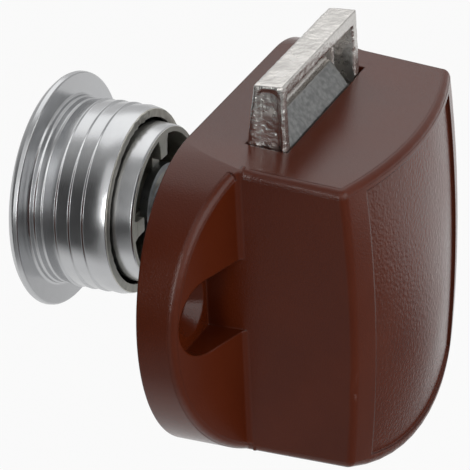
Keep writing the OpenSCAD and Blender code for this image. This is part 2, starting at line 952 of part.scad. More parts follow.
module return_spring() {
    steps = 12;
    sides = 6;
    y0 = spring_bore_y + spring_wire_r + 0.05;
    y1 = seat_y - spring_wire_r - 0.05;
    rings = spring_turns * steps;
    skin = [
        for (i = [0 : rings], j = [0 : sides - 1])
            coil_skin(i / steps, j * 360 / sides, y0, y1, spring_turns)
    ];
    tube = [
        for (i = [0 : rings - 1], j = [0 : sides - 1])
            let (k = (j + 1) % sides)
            [i * sides + j, (i + 1) * sides + j, (i + 1) * sides + k, i * sides + k]
    ];
    front_end = [for (j = [0 : sides - 1]) j];
    back_end = [for (j = [sides - 1 : -1 : 0]) rings * sides + j];
    color("#a7a9ac")
        polyhedron(points = skin, faces = concat(tube, [front_end, back_end]), convexity = 10);
}

// Rod inside the return spring, fixed in the back of the housing
module spring_guide_pin() {
    color("silver")
        rod(guide_pin_r, guide_pin_tip_y, seat_y + 2);
}

// Groove of the latch: a straight run that opens into a heart-shaped loop, drawn in X and Y
module latch_path() {
    far_y = wire_tip_y - travel - 0.6;
    heart_y = wire_tip_y - heart_l;
    stop_y = wire_tip_y + overtravel + 0.2;
    points = [
        [0, far_y],
        [0, heart_y - heart_l / 2],
        [heart_half_w, heart_y + heart_l / 2],
        [heart_half_w / 2, stop_y],
        [0, wire_tip_y],
        [-heart_half_w / 2, stop_y],
        [-heart_half_w, heart_y + heart_l / 2],
        [0, heart_y - heart_l / 2]
    ];
    for (i = [0 : len(points) - 2]) {
        a = points[i];
        b = points[i + 1];
        step = b - a;
        translate(a)
            circle(latch_groove_r, $fn = 24);
        translate(b)
            circle(latch_groove_r, $fn = 24);
        translate(a)
            rotate(atan2(step[1], step[0]))
                translate([0, -latch_groove_r])
                    square([norm(step), 2 * latch_groove_r]);
    }
}

// Latch plate: an arm with the grooved track under the plunger, on a foot screwed to the base plate
module latch_track() {
    arm_back_y = wire_tip_y + overtravel + 3;
    foot_t = 1.6;
    color("#9a9da1")
        difference() {
            union() {
                translate([-latch_arm_half_w, plate_t, latch_top_z - latch_arm_t])
                    cube([2 * latch_arm_half_w, arm_back_y - plate_t, latch_arm_t]);
                translate([-latch_foot_half_w, plate_t, latch_foot_low_z])
                    cube([2 * latch_foot_half_w, foot_t, latch_top_z - latch_foot_low_z - 1]);
            }
            translate([0, 0, latch_top_z - latch_groove])
                linear_extrude(latch_groove + cut)
                    latch_path();
            for (s = [-1, 1])
                translate([s * latch_screw_x, 0, latch_screw_z])
                    rod(latch_screw_r + run, 0, plate_t + foot_t + cut);
        }
}

// Pan-head screws that hold the latch plate
module latch_track_screws() {
    head_t = 1.1;
    seat = plate_t + 1.6;
    color("silver")
        for (s = [-1, 1])
            translate([s * latch_screw_x, 0, latch_screw_z])
                difference() {
                    union() {
                        rod(latch_screw_r, 0.2, seat);
                        rod(latch_screw_head_r, seat, seat + head_t);
                    }
                    translate([-latch_screw_head_r, seat + head_t - 0.5, -0.25])
                        cube([2 * latch_screw_head_r, 1, 0.5]);
                }
}

// Spring wire that follows the track, with its end turned down into the groove
module latch_wire() {
    tip_z = latch_top_z - latch_groove + 0.2;
    color("#b0b2b5")
        difference() {
            union() {
                translate([0, 0, wire_z])
                    rod(wire_r, wire_tip_y, wire_back_y - 0.4);
                translate([0, wire_tip_y, wire_z])
                    sphere(wire_r);
                translate([0, wire_tip_y, tip_z])
                    cylinder(r = wire_r, h = wire_z - tip_z);
            }
            wire_pin_rod();
        }
}

// Small pin across the wire, which locks it in the plunger's lug
module wire_pin_rod() {
    translate([-wire_lug_half_w, wire_pin_y, wire_pin_z])
        rotate([0, 90, 0])
            cylinder(r = wire_pin_r, h = 2 * wire_lug_half_w);
}

module latch_wire_pin() {
    color("silver") wire_pin_rod();
}

// Ribbed spindle from the knob through the door to the plunger
module spindle() {
    first = knob_back_y - 1;
    last = plunger_front_y - 0.6;
    count = floor((last - first) / groove_pitch);
    color("#b4b6b8")
        difference() {
            rod(spindle_r, spindle_front_y, spindle_back_y);
            for (i = [0 : count - 1])
                translate([0, first + i * groove_pitch, 0])
                    difference() {
                        rod(spindle_r + cut, 0, groove_pitch / 2);
                        rod(spindle_r - groove_depth, -cut, groove_pitch);
                    }
            translate([-spindle_r - cut, spindle_pin_y, 0])
                rotate([0, 90, 0])
                    cylinder(r = spindle_pin_r, h = 2 * spindle_r + 2 * cut);
        }
}

module spindle_pin() {
    l = plunger_r - 0.2;
    color("silver")
        translate([-l, spindle_pin_y, 0])
            rotate([0, 90, 0])
                cylinder(r = spindle_pin_r, h = 2 * l);
}

// Half section of the knob: a shallow dished face and a thin skirt
module knob_profile() {
    edge = 0.8;
    dish = 0.5;
    polygon([
        [0, knob_front_y + dish],
        [skirt_r * 0.55, knob_front_y + dish * 0.8],
        [skirt_r - 2.2, knob_front_y + 0.1],
        [skirt_r - edge - 0.5, knob_front_y],
        [skirt_r - edge * 0.3, knob_front_y + edge * 0.3],
        [skirt_r, knob_front_y + edge],
        [skirt_r, knob_back_y - 0.3],
        [skirt_r - 0.3, knob_back_y],
        [skirt_r - skirt_wall, knob_back_y],
        [skirt_r - skirt_wall - 0.3, knob_front_y + face_t + 1],
        [skirt_r - skirt_wall - 1.3, knob_front_y + face_t],
        [0, knob_front_y + face_t]
    ]);
}

module knob() {
    color("#c4c6c8")
        difference() {
            union() {
                turned() knob_profile();
                rod(hub_r, knob_front_y + face_t / 2, hub_back_y);
                intersection() {
                    rod(skirt_r - skirt_wall / 2, knob_front_y, knob_back_y);
                    for (i = [0 : rib_count - 1])
                        rotate([0, -90 - i * 360 / rib_count, 0]) {
                            translate([0, knob_front_y + face_t / 2, -rib_t / 2])
                                cube([skirt_r, rib_back_y - knob_front_y - face_t / 2, rib_t]);
                            translate([0, knob_front_y + face_t, -rib_t / 2])
                                cube([skirt_r * 0.62, rib_step_y - knob_front_y - face_t, rib_t]);
                        }
                }
            }
            rod(spindle_r + 0.02, spindle_front_y, knob_back_y + cut);
        }
}

// Split ring that clamps the hub on the spindle
module knob_hub_ring() {
    front = hub_back_y - ring_clip_l;
    color("#8d8f92")
        difference() {
            rod(hub_r + ring_clip_t, front, hub_back_y);
            rod(hub_r + 0.02, front - cut, hub_back_y + cut);
        }
}

// Half section of the rosette: rounded flange, barbed rings and a plain ring at the barrel's end
module rosette_profile() {
    bore_r = barrel_r - barrel_wall;
    back = flange_back_y;
    end = back + barrel_l;
    barb = 0.4;
    first = 0.9;
    pitch = 2.1;
    polygon([
        [lip_r, knob_front_y + 0.3],
        [lip_r + 0.3, knob_front_y],
        [flange_r - 1.6, knob_front_y],
        [flange_r - 0.5, knob_front_y + 0.45],
        [flange_r, knob_front_y + 1.2],
        [flange_r, back - 0.15],
        [flange_r - 0.15, back],
        [barrel_r - 0.7, back],
        [barrel_r - 0.7, back + first],
        [barrel_r - barb, back + first],
        [barrel_r, back + first + pitch - 0.1],
        [barrel_r - barb, back + first + pitch],
        [barrel_r, back + first + 2 * pitch - 0.1],
        [barrel_r - barb, back + first + 2 * pitch],
        [barrel_r, back + first + 3 * pitch - 0.1],
        [barrel_r - barb, back + first + 3 * pitch],
        [barrel_r - barb, back + first + 3 * pitch + 0.2],
        [barrel_r, back + first + 3 * pitch + 0.5],
        [barrel_r, end - 0.3],
        [barrel_r - 0.3, end],
        [bore_r + 0.2, end],
        [bore_r, end - 0.2],
        [bore_r, back + 0.6],
        [lip_r, back]
    ]);
}

module rosette() {
    color("#c9cbcd")
        turned() rosette_profile();
}

housing();
base_plate();
base_plate_screws();
bolt();
bolt_leaf_springs();
plunger();
plunger_bush();
stop_buffer();
trunnion_pins();
return_spring();
spring_guide_pin();
latch_track();
latch_track_screws();
latch_wire();
latch_wire_pin();
spindle();
spindle_pin();
knob();
knob_hub_ring();
rosette();
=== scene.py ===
# Looks of the pushbutton cabinet lock: the finish of each piece, the pieces that stand in for CAD
# nodes with more detail, the studio and the camera.
import contextlib
import math

import bmesh
import bpy
from mathutils import Matrix, Vector, noise


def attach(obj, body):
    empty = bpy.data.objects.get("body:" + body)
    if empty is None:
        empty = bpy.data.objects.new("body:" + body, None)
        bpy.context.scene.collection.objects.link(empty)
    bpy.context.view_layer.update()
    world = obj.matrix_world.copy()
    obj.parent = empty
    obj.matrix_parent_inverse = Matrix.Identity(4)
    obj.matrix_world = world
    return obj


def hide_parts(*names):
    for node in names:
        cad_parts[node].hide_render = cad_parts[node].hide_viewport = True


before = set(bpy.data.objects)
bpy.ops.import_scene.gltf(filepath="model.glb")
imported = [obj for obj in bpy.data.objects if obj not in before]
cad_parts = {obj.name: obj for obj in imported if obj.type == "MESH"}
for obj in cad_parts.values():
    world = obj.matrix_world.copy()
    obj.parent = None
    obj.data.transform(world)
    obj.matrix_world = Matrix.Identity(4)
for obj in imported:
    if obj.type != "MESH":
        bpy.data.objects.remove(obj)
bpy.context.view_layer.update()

MM = 0.001

# Height of the housing's top face at the door, and how far it falls towards the back
TOP_Z = 17.8
TOP_LEAN = math.tan(math.radians(4.7))

# Edges that turn by more than this are shaded sharp or rounded
SHARP_DEGREES = 28.0

# Points of a CAD mesh that lie closer than this are one point
SEAM_MM = 0.0005


def linear(hex_colour):
    """An sRGB hex colour as the linear RGBA that a shader takes."""
    parts = [int(hex_colour[i:i + 2], 16) / 255 for i in (1, 3, 5)]
    curve = [c / 12.92 if c <= 0.04045 else ((c + 0.055) / 1.055) ** 2.4 for c in parts]
    return (*curve, 1.0)


def add(tree, kind, inputs=None, **settings):
    """Adds one node: its settings, then each input set to a value or linked to another's output."""
    made = tree.nodes.new(kind)
    for name, value in settings.items():
        setattr(made, name, value)
    for key, value in (inputs or {}).items():
        if isinstance(value, bpy.types.NodeSocket):
            tree.links.new(value, made.inputs[key])
        else:
            made.inputs[key].default_value = value
    return made


def span(value, low, high, at_low, at_high):
    """Inputs of a Map Range node that turns low to high of a value into at_low to at_high."""
    return {0: value, 1: low, 2: high, 3: at_low, 4: at_high}


def start_material(name):
    """An empty material, its tree, and the place on the piece in millimetres."""
    made = bpy.data.materials.new(name)
    made.use_nodes = True
    tree = made.node_tree
    tree.nodes.clear()
    where = add(tree, "ShaderNodeTexCoord").outputs["Object"]
    in_mm = add(tree, "ShaderNodeVectorMath", {0: where, 3: 1 / MM}, operation="SCALE")
    return made, tree, in_mm.outputs["Vector"]


def worn_edge(tree, radius_mm):
    """A surface direction that turns softly over sharp edges, as tumbling or wear leaves them."""
    edge = add(tree, "ShaderNodeBevel", {"Radius": radius_mm * MM}, samples=6)
    return edge.outputs["Normal"]


def bumped(tree, height, depth_mm, normal=None, strength=1.0):
    """The surface direction after bumps of a depth, laid over another direction if there is one."""
    inputs = {"Strength": strength, "Distance": depth_mm * MM, "Height": height}
    if normal:
        inputs["Normal"] = normal
    return add(tree, "ShaderNodeBump", inputs).outputs["Normal"]


def finish_material(tree, inputs):
    """Ends a material with its surface, which is returned."""
    surface = add(tree, "ShaderNodeBsdfPrincipled", inputs)
    add(tree, "ShaderNodeOutputMaterial", {"Surface": surface.outputs["BSDF"]})
    return surface


# Injection-moulded ABS, dyed through: a soft gloss with a faint spark-eroded grain from the mould,
# a coarser leather grain in the back panel, and the odd pale fleck of dust
def moulded_abs():
    brown, deep_brown, dust = linear("#65280F"), linear("#571F09"), linear("#B9A79C")
    mottle_mm, grain_mm, leather_mm, fleck_mm = 9.0, 0.22, 0.46, 2.6
    grain_depth_mm, leather_depth_mm, bump_strength, edge_mm = 0.05, 0.1, 0.45, 0.35
    # Radius of a fleck as a share of its cell, and the share of cells without one
    fleck_r, bare_share = 0.035, 0.8
    # The back panel, inside its plain rim
    panel_half_w, panel_y, panel_top_z = 14.1, 20.0, 13.9

    made, tree, place = start_material("moulded_abs")
    mottle = add(
        tree, "ShaderNodeTexNoise", {"Vector": place, "Scale": 1 / mottle_mm, "Detail": 3.0}
    ).outputs["Fac"]
    body = add(tree, "ShaderNodeMix", {0: mottle, 6: deep_brown, 7: brown}, data_type="RGBA")
    fleck = add(
        tree, "ShaderNodeTexVoronoi", {"Vector": place, "Scale": 1 / fleck_mm, "Randomness": 1.0}
    )
    near = add(
        tree, "ShaderNodeMath", {0: fleck.outputs["Distance"], 1: fleck_r}, operation="LESS_THAN"
    )
    cell = add(tree, "ShaderNodeSeparateColor", {0: fleck.outputs["Color"]})
    picked = add(
        tree, "ShaderNodeMath", {0: cell.outputs[0], 1: bare_share}, operation="GREATER_THAN"
    )
    dusty = add(
        tree, "ShaderNodeMath", {0: near.outputs[0], 1: picked.outputs[0]}, operation="MULTIPLY"
    )
    colour = add(
        tree, "ShaderNodeMix", {0: dusty.outputs[0], 6: body.outputs[2], 7: dust}, data_type="RGBA"
    )

    grain = add(tree, "ShaderNodeTexNoise", {"Vector": place, "Scale": 1 / grain_mm, "Detail": 2.0})
    leather = add(
        tree,
        "ShaderNodeTexVoronoi",
        {"Vector": place, "Scale": 1 / leather_mm},
        feature="SMOOTH_F1",
    ).outputs["Distance"]
    axes = add(tree, "ShaderNodeSeparateXYZ", {0: place})
    across = add(tree, "ShaderNodeMath", {0: axes.outputs["X"]}, operation="ABSOLUTE").outputs[0]
    for measure, limit, test in (
        (across, panel_half_w, "LESS_THAN"),
        (axes.outputs["Y"], panel_y, "GREATER_THAN"),
        (axes.outputs["Z"], panel_top_z, "LESS_THAN"),
    ):
        passed = add(tree, "ShaderNodeMath", {0: measure, 1: limit}, operation=test).outputs[0]
        leather = add(
            tree, "ShaderNodeMath", {0: leather, 1: passed}, operation="MULTIPLY"
        ).outputs[0]
    normal = bumped(
        tree, grain.outputs["Fac"], grain_depth_mm, worn_edge(tree, edge_mm), bump_strength
    )
    normal = bumped(tree, leather, leather_depth_mm, normal, bump_strength)
    polish = add(tree, "ShaderNodeMapRange", span(mottle, 0.3, 0.7, 0.18, 0.25))
    finish_material(
        tree,
        {
            "Base Color": colour.outputs[2],
            "Roughness": polish.outputs[0],
            "IOR": 1.53,
            "Specular IOR Level": 0.33,
            "Normal": normal,
        },
    )
    return made


# A bare or plated metal: its colour with faint patches, and waves and pits, each with a size and a
# depth, left by casting or handling. In a hollow the colour is painted darker, as painted shade of
# the recess, and the finish there is rougher.
def metal(
    name, light, dark, roughness, patch_mm, waves_mm, pits_mm, edge_mm=0.1, brushed=0.0, hollow=None
):
    made, tree, place = start_material(name)
    patch = add(
        tree, "ShaderNodeTexNoise", {"Vector": place, "Scale": 1 / patch_mm, "Detail": 4.0}
    ).outputs["Fac"]
    colour = add(
        tree, "ShaderNodeMix", {0: patch, 6: linear(dark), 7: linear(light)}, data_type="RGBA"
    ).outputs[2]
    polish = add(
        tree, "ShaderNodeMapRange", span(patch, 0.3, 0.7, roughness * 0.85, roughness * 1.2)
    ).outputs[0]
    waves = add(
        tree, "ShaderNodeTexNoise", {"Vector": place, "Scale": 1 / waves_mm[0], "Detail": 2.0}
    ).outputs["Fac"]
    pits = add(
        tree, "ShaderNodeTexNoise", {"Vector": place, "Scale": 1 / pits_mm[0], "Detail": 3.0}
    ).outputs["Fac"]
    if hollow:
        off = place
        for operation, value in (
            ("SUBTRACT", hollow["centre_mm"]), ("ABSOLUTE", None), ("SUBTRACT", hollow["half_mm"])
        ):
            inputs = {0: off} if value is None else {0: off, 1: value}
            off = add(tree, "ShaderNodeVectorMath", inputs, operation=operation).outputs[0]
        off = add(tree, "ShaderNodeSeparateXYZ", {0: off}).outputs
        worst = off[0]
        for side in (off[1], off[2]):
            worst = add(
                tree, "ShaderNodeMath", {0: worst, 1: side}, operation="MAXIMUM"
            ).outputs[0]
        # Mask of the hollow: there the colour is painted darker as painted shade, and the roughness
        # rises
        dull_and_shaded = add(tree, "ShaderNodeMapRange", span(worst, 0.15, -0.25, 0.0, 1.0)).outputs[0]
        cloud = add(tree, "ShaderNodeMapRange", span(waves, 0.35, 0.65, 0.0, 1.0)).outputs[0]
        # The hollow's colour: a darker grey that is painted shade of the recess, patched at random
        skin = add(
            tree,
            "ShaderNodeMix",
            {0: cloud, 6: linear(hollow["dark"]), 7: linear(hollow["light"])},
            data_type="RGBA",
        ).outputs[2]
        colour = add(
            tree, "ShaderNodeMix", {0: dull_and_shaded, 6: colour, 7: skin}, data_type="RGBA"
        ).outputs[2]
        polish = add(tree, "ShaderNodeMix", {0: dull_and_shaded, 2: polish, 3: hollow["roughness"]}).outputs[0]
    normal = bumped(tree, waves, waves_mm[1], worn_edge(tree, edge_mm))
    surface = finish_material(
        tree,
        {
            "Base Color": colour,
            "Metallic": 1.0,
            "Roughness": polish,
            "Anisotropic": brushed,
            "Normal": bumped(tree, pits, pits_mm[1], normal),
        },
    )
    if brushed:
        round_axis = add(tree, "ShaderNodeTangent", direction_type="RADIAL", axis="Y")
        tree.links.new(round_axis.outputs[0], surface.inputs["Tangent"])
    return made


# A plain moulded or rubber piece: one colour with faint patches, and a fine skin with a size and a
# depth
def plain_moulding(name, light, dark, roughness, skin_mm, glow=0.0):
    patches_per_mm, glow_mm = 0.3, 0.8
    made, tree, place = start_material(name)
    patch = add(
        tree, "ShaderNodeTexNoise", {"Vector": place, "Scale": patches_per_mm, "Detail": 3.0}
    )
    colour = add(
        tree,
        "ShaderNodeMix",
        {0: patch.outputs["Fac"], 6: linear(dark), 7: linear(light)},
        data_type="RGBA",
    )
    skin = add(
        tree, "ShaderNodeTexNoise", {"Vector": place, "Scale": 1 / skin_mm[0], "Detail": 2.0}
    )
    finish_material(
        tree,
        {
            "Base Color": colour.outputs[2],
            "Roughness": roughness,
            "IOR": 1.49,
            "Subsurface Weight": glow,
            "Subsurface Scale": glow_mm * MM,
            "Normal": bumped(tree, skin.outputs["Fac"], skin_mm[1]),
        },
    )
    return made


housing_abs = moulded_abs()
# Nickel-plated zinc die casting: bright, with the pits and shallow waves of the casting under the
# plate, and a rougher pocket and ramp in its back, painted darker grey as their shade
cast_nickel = metal(
    "nickel_plated_zinc", "#E8E5E1", "#B9B6B2", 0.25,
    patch_mm=2.5, waves_mm=(0.7, 0.03), pits_mm=(0.2, 0.05),
    hollow={
        "centre_mm": (0.0, 14.8, 18.9),
        "half_mm": (10.7, 5.0, 4.7),
        # Darker greys painted in the pocket and ramp as their shade
        "dark": "#838484",
        "light": "#9C9D9C",
        "roughness": 0.42,
    },
)
# Satin chrome on zinc: an even pale grey with a soft, wide shine, brushed round the knob axis
satin_chrome = metal(
    "satin_chrome", "#CBCCCD", "#B4B5B7", 0.22,
    patch_mm=3.0, waves_mm=(2.5, 0.006), pits_mm=(0.25, 0.003), edge_mm=0.08, brushed=0.45,
)
# The knob's inside and the rosette's end, which the plating bath hardly reaches: rough grey casting
raw_casting = metal(
    "raw_zinc_casting", "#D0CEC6", "#A8A69B", 0.45,
    patch_mm=1.5, waves_mm=(1.0, 0.02), pits_mm=(0.3, 0.03),
)
# Bare zinc casting: duller and greyer than plate
bare_zinc = metal(
    "bare_zinc", "#A7A9AB", "#939597", 0.45,
    patch_mm=1.5, waves_mm=(1.0, 0.01), pits_mm=(0.3, 0.02),
)
# Zinc-plated sheet steel: a cool, slightly cloudy shine
plate_steel = metal(
    "zinc_plated_steel", "#B6BABF", "#A2A7AE", 0.34,
    patch_mm=3.0, waves_mm=(4.0, 0.01), pits_mm=(0.25, 0.006),
)
# Small turned steel pieces, plated bright
turned_steel = metal(
    "turned_plated_steel", "#C6C8CA", "#B0B3B6", 0.26,
    patch_mm=1.2, waves_mm=(1.0, 0.004), pits_mm=(0.2, 0.004),
)
# Tempered spring wire and strip: darker, with a drawn skin
spring_steel = metal(
    "spring_steel", "#A9ABAC", "#8E9092", 0.32,
    patch_mm=0.8, waves_mm=(1.0, 0.004), pits_mm=(0.15, 0.006),
)
# Turned brass for the bush
turned_brass = metal(
    "turned_brass", "#D8B668", "#C29E50", 0.25,
    patch_mm=1.5, waves_mm=(1.0, 0.004), pits_mm=(0.2, 0.005),
)
# Acetal resin: off-white, waxy, a little translucent
acetal = plain_moulding("acetal_resin", "#E4E0D4", "#DAD5C7", 0.38, skin_mm=(0.3, 0.01), glow=0.3)
# Nitrile rubber: black and dull
nitrile = plain_moulding("nitrile_rubber", "#222325", "#1A1B1C", 0.75, skin_mm=(0.2, 0.02))

FINISHES = {
    "housing": housing_abs,
    "base_plate": plate_steel,
    "base_plate_screws": turned_steel,
    "bolt": cast_nickel,
    "bolt_leaf_springs": spring_steel,
    "plunger": acetal,
    "plunger_bush": turned_brass,
    "stop_buffer": nitrile,
    "trunnion_pins": turned_steel,
    "return_spring": spring_steel,
    "spring_guide_pin": turned_steel,
    "latch_track": bare_zinc,
    "latch_track_screws": turned_steel,
    "latch_wire": spring_steel,
    "latch_wire_pin": turned_steel,
    "spindle": turned_steel,
    "spindle_pin": turned_steel,
    "knob": satin_chrome,
    "knob_hub_ring": spring_steel,
    "rosette": satin_chrome,
}
for name, finish in FINISHES.items():
    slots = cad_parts[name].data.materials
    slots.clear()
    slots.append(finish)


def placed(name, data):
    """A new object in the scene."""
    made = bpy.data.objects.new(name, data)
    bpy.context.scene.collection.objects.link(made)
    return made


@contextlib.contextmanager
def edited(mesh):
    """A mesh as an edit mesh, which is written back at the end."""
    work = bmesh.new()
    work.from_mesh(mesh)
    yield work
    work.to_mesh(mesh)
    work.free()


def round_edges(piece, width_mm, segments=2):
    """Rounds the sharp edges of a piece with modifiers, which leave its own mesh as it is."""
    weld = piece.modifiers.new("weld", "WELD")
    weld.merge_threshold = 0.001 * MM
    bevel = piece.modifiers.new("edges", "BEVEL")
    bevel.limit_method = "ANGLE"
    bevel.angle_limit = math.radians(SHARP_DEGREES)
    bevel.width = width_mm * MM
    bevel.segments = segments
    bevel.use_clamp_overlap = True
    bevel.harden_normals = True


def mesh_of(points_mm, faces):
    """A closed mesh with its faces turned outwards."""
    mesh = bpy.data.meshes.new("part")
    mesh.from_pydata([[c * MM for c in p] for p in points_mm], [], faces)
    with edited(mesh) as work:
        bmesh.ops.remove_doubles(work, verts=work.verts, dist=SEAM_MM * MM)
        bmesh.ops.recalc_face_normals(work, faces=work.faces)
    return mesh


def copy_of(node):
    """A copy of a CAD node's mesh to work on, with its seams joined. The node keeps its own."""
    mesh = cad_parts[node].data.copy()
    with edited(mesh) as work:
        bmesh.ops.remove_doubles(work, verts=work.verts, dist=SEAM_MM * MM)
    return mesh


def worked(mesh, steps):
    """The mesh after a list of (modifier, settings), where the setting object is a tool's mesh."""
    for kind, settings in steps:
        used = [placed("bench", mesh)]
        made = used[0].modifiers.new("step", kind)
        for name, value in settings.items():
            if name == "object":
                value = placed("tool", value)
                used.append(value)
            setattr(made, name, value)
        graph = bpy.context.evaluated_depsgraph_get()
        mesh = bpy.data.meshes.new_from_object(used[0].evaluated_get(graph))
        for done in used:
            bpy.data.objects.remove(done)
    return mesh


def finished_piece(
    name, mesh, material, node, body, edge_mm=0.0, segments=2, sharp_degrees=SHARP_DEGREES
):
    """A smooth-shaded piece that takes the place of a CAD node and moves with its body."""
    mesh.shade_smooth()
    mesh.set_sharp_from_angle(angle=math.radians(sharp_degrees))
    mesh.materials.clear()
    mesh.materials.append(material)
    piece = placed(name, mesh)
    if edge_mm:
        round_edges(piece, edge_mm, segments)
    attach(piece, body)
    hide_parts(node)


def turned(profile_mm, segments):
    """Points and faces of a body turned about the knob axis from (radius, along Y) corners."""
    points, faces = [], []
    count = len(profile_mm)
    for s in range(segments):
        turn = math.tau * s / segments
        across, up = math.cos(turn), math.sin(turn)
        points += [(radius * across, along, radius * up) for radius, along in profile_mm]
    for s in range(segments):
        here, there = s * count, (s + 1) % segments * count
        for i in range(count):
            k = (i + 1) % count
            faces.append((here + i, here + k, there + k, there + i))
    return points, faces


def prism(outline_mm, low, high):
    """Points and faces of a bar with (across, up) corners between two places along Y."""
    count = len(outline_mm)
    points = [(x, y, z) for y in (low, high) for x, z in outline_mm]
    faces = [tuple(range(count)), tuple(range(2 * count - 1, count - 1, -1))]
    faces += [(i, (i + 1) % count, (i + 1) % count + count, i + count) for i in range(count)]
    return points, faces


def joined(parts):
    """One list of points and one of faces from several."""
    points, faces = [], []
    for more_points, more_faces in parts:
        first = len(points)
        points += more_points
        faces += [tuple(i + first for i in face) for face in more_faces]
    return points, faces


# Rosette: flange with a bright bevelled rim, a stepped root, three low barbs and a lead-in taper
FLANGE_BACK = -24.1
FLANGE_FRONT = -25.85
BARREL_R = 12.55
ROSETTE_BORE_R = 11.05


def make_rosette():
    back, front, r, bore = FLANGE_BACK, FLANGE_FRONT, BARREL_R, ROSETTE_BORE_R
    step, barb = 0.22, 0.2
    profile = [
        (bore, front + 0.3), (11.35, front), (14.0, front), (14.9, front + 0.2),
        (15.45, front + 0.75), (15.6, front + 1.1), (15.52, back - 0.12), (15.35, back),
        (12.8, back), (r - 0.02, back + 0.22), (r - 0.02, back + 0.72), (r - step, back + 0.92),
        (r - step, back + 1.72), (r - step - 0.14, back + 1.9),
    ]
    for crest in (3.68, 5.6, 7.54):
        profile += [(r, back + crest), (r - barb, back + crest + barb)]
    profile += [
        (r - 0.06, back + 9.6), (r - 0.3, back + 10.75), (r - 0.4, back + 10.85),
        (r - 0.9, back + 10.8), (r - 1.05, back + 10.0), (r - 1.1, back + 0.6), (bore, back),
    ]
    mesh = mesh_of(*turned(profile, 192))
    finished_piece(
        "rosette_turned", mesh, satin_chrome, "rosette", "root",
        edge_mm=0.05, segments=1,
    )
    make_broken_end()


def make_broken_end():
    """The rosette's rough end, where it left its sprue, with a burr on the upper side."""
    back, r, bore = FLANGE_BACK, BARREL_R, ROSETTE_BORE_R
    burr_degrees, burr_reach_degrees, burr_out = 88, 26, 0.25
    # Only the end face is rough, from this distance behind the flange
    face_from = 10.6
    end = mesh_of(*turned([
        (bore, back + 10.3), (r - 0.6, back + 10.4), (r - 0.38, back + 10.8),
        (r - 0.45, back + 10.95), (11.7, back + 10.98), (11.3, back + 10.96), (bore, back + 10.9),
    ], 240))
    spots = []
    for point in end.vertices:
        place = point.co / MM
        if place.y - back > face_from:
            angle = math.degrees(math.atan2(place.z, place.x))
            burr = max(0.0, 1 - abs(angle - burr_degrees) / burr_reach_degrees)
            torn = 0.09 * noise.noise(place / 0.5)
            torn += burr * (0.12 + 0.3 * noise.noise(place / 0.6 + Vector((2, 9, 4))))
            outward = Vector((place.x, 0, place.z)).normalized() * burr * burr_out
            place += Vector((0, torn, 0)) + outward
        spots.extend(place * MM)
    end.vertices.foreach_set("co", spots)
    end.update()
    finished_piece("rosette_broken_end", end, raw_casting, "rosette", "root")


# Knob: a plated cup, and a rough cross of stepped arms with a hub and a rim in its open back
KNOB_BACK = -10.35
SKIRT_R = 10.75
HUB_BORE_R = 2.53
HUB_R = 4.6
ARM_COUNT = 4
FIRST_ARM_DEGREES = 93


def make_knob():
    front, back, r = FLANGE_FRONT, KNOB_BACK, SKIRT_R
    cup = [
        (0.0, front + 0.5), (3.0, front + 0.46), (6.0, front + 0.38), (8.4, front + 0.12),
        (9.3, front), (10.2, front + 0.2), (10.62, front + 0.5), (r, front + 0.9), (r, back - 5.2),
        (r - 0.36, back - 0.25), (r - 0.55, back), (r - 0.95, back), (r - 1.08, back - 0.12),
        (r - 1.3, front + 3.0), (r - 2.2, front + 1.8), (0.0, front + 1.8),
    ]
    mesh = mesh_of(*turned(cup, 192))
    finished_piece(
        "knob_cup", mesh, satin_chrome, "knob", "knob_unit",
        edge_mm=0.06, segments=1,
    )

    hub_back, floor = back - 0.9, front + 1.5
    hub = [
        (HUB_BORE_R, floor), (HUB_R, floor), (HUB_R, hub_back - 0.15), (HUB_R - 0.15, hub_back),
        (HUB_BORE_R, hub_back),
    ]
    rim = [
        (9.55, floor), (r - 0.7, floor), (r - 0.52, back - 0.5), (r - 0.52, back + 0.03),
        (9.55, back),
    ]
    # The steps of an arm: from and to which distance, half the width at each, and the top
    steps = (
        (4.3, 6.8, 1.0, 1.0, back - 1.3),
        (6.6, 8.6, 0.95, 1.1, back - 0.04),
        (8.5, 10.0, 1.1, 1.7, back - 0.06),
    )
    parts = [turned(hub, 64)]
    for arm in range(ARM_COUNT):
        turn = math.radians(FIRST_ARM_DEGREES + 360 / ARM_COUNT * arm)
        c, s = math.cos(turn), math.sin(turn)
        for inner, outer, root, tip, top in steps:
            outline = [(inner, -root), (outer, -tip), (outer, tip), (inner, root)]
            parts.append(prism([(x * c - z * s, x * s + z * c) for x, z in outline], floor, top))
    parts.append(turned(rim, 144))
    mesh = mesh_of(*joined(parts))
    finished_piece(
        "knob_cross", mesh, raw_casting, "knob", "knob_unit",
        edge_mm=0.06, segments=1,
    )


# Bolt: the head as it leaves the die, with tumbled edges and the orange-peel lumps of a zinc
# casting, and the legs below it, which never leave the housing
BOLT_SPLIT_Z = 14.5
BOLT_VOXEL_MM = 0.14
BOLT_SMOOTHING = 18

# Height, size and offset of each pattern of lumps, in millimetres
BOLT_LUMPS = ((0.04, 1.7, (0, 0, 0)), (0.035, 0.62, (7, 3, 5)), (0.02, 0.34, (0, 0, 0)))


def half_of(mesh, height_mm, keep_above):
    """The part of a mesh above or below a height, closed where it is cut."""
    half = mesh.copy()
    with edited(half) as work:
        bmesh.ops.bisect_plane(
            work,
            geom=[*work.verts, *work.edges, *work.faces],
            plane_co=Vector((0, 0, height_mm)) * MM,
            plane_no=(0, 0, 1),
            clear_outer=not keep_above,
            clear_inner=keep_above,
        )
        rim = [e for e in work.edges if e.is_boundary]
        bmesh.ops.triangle_fill(work, use_beauty=True, edges=rim)
        bmesh.ops.recalc_face_normals(work, faces=work.faces)
    return half


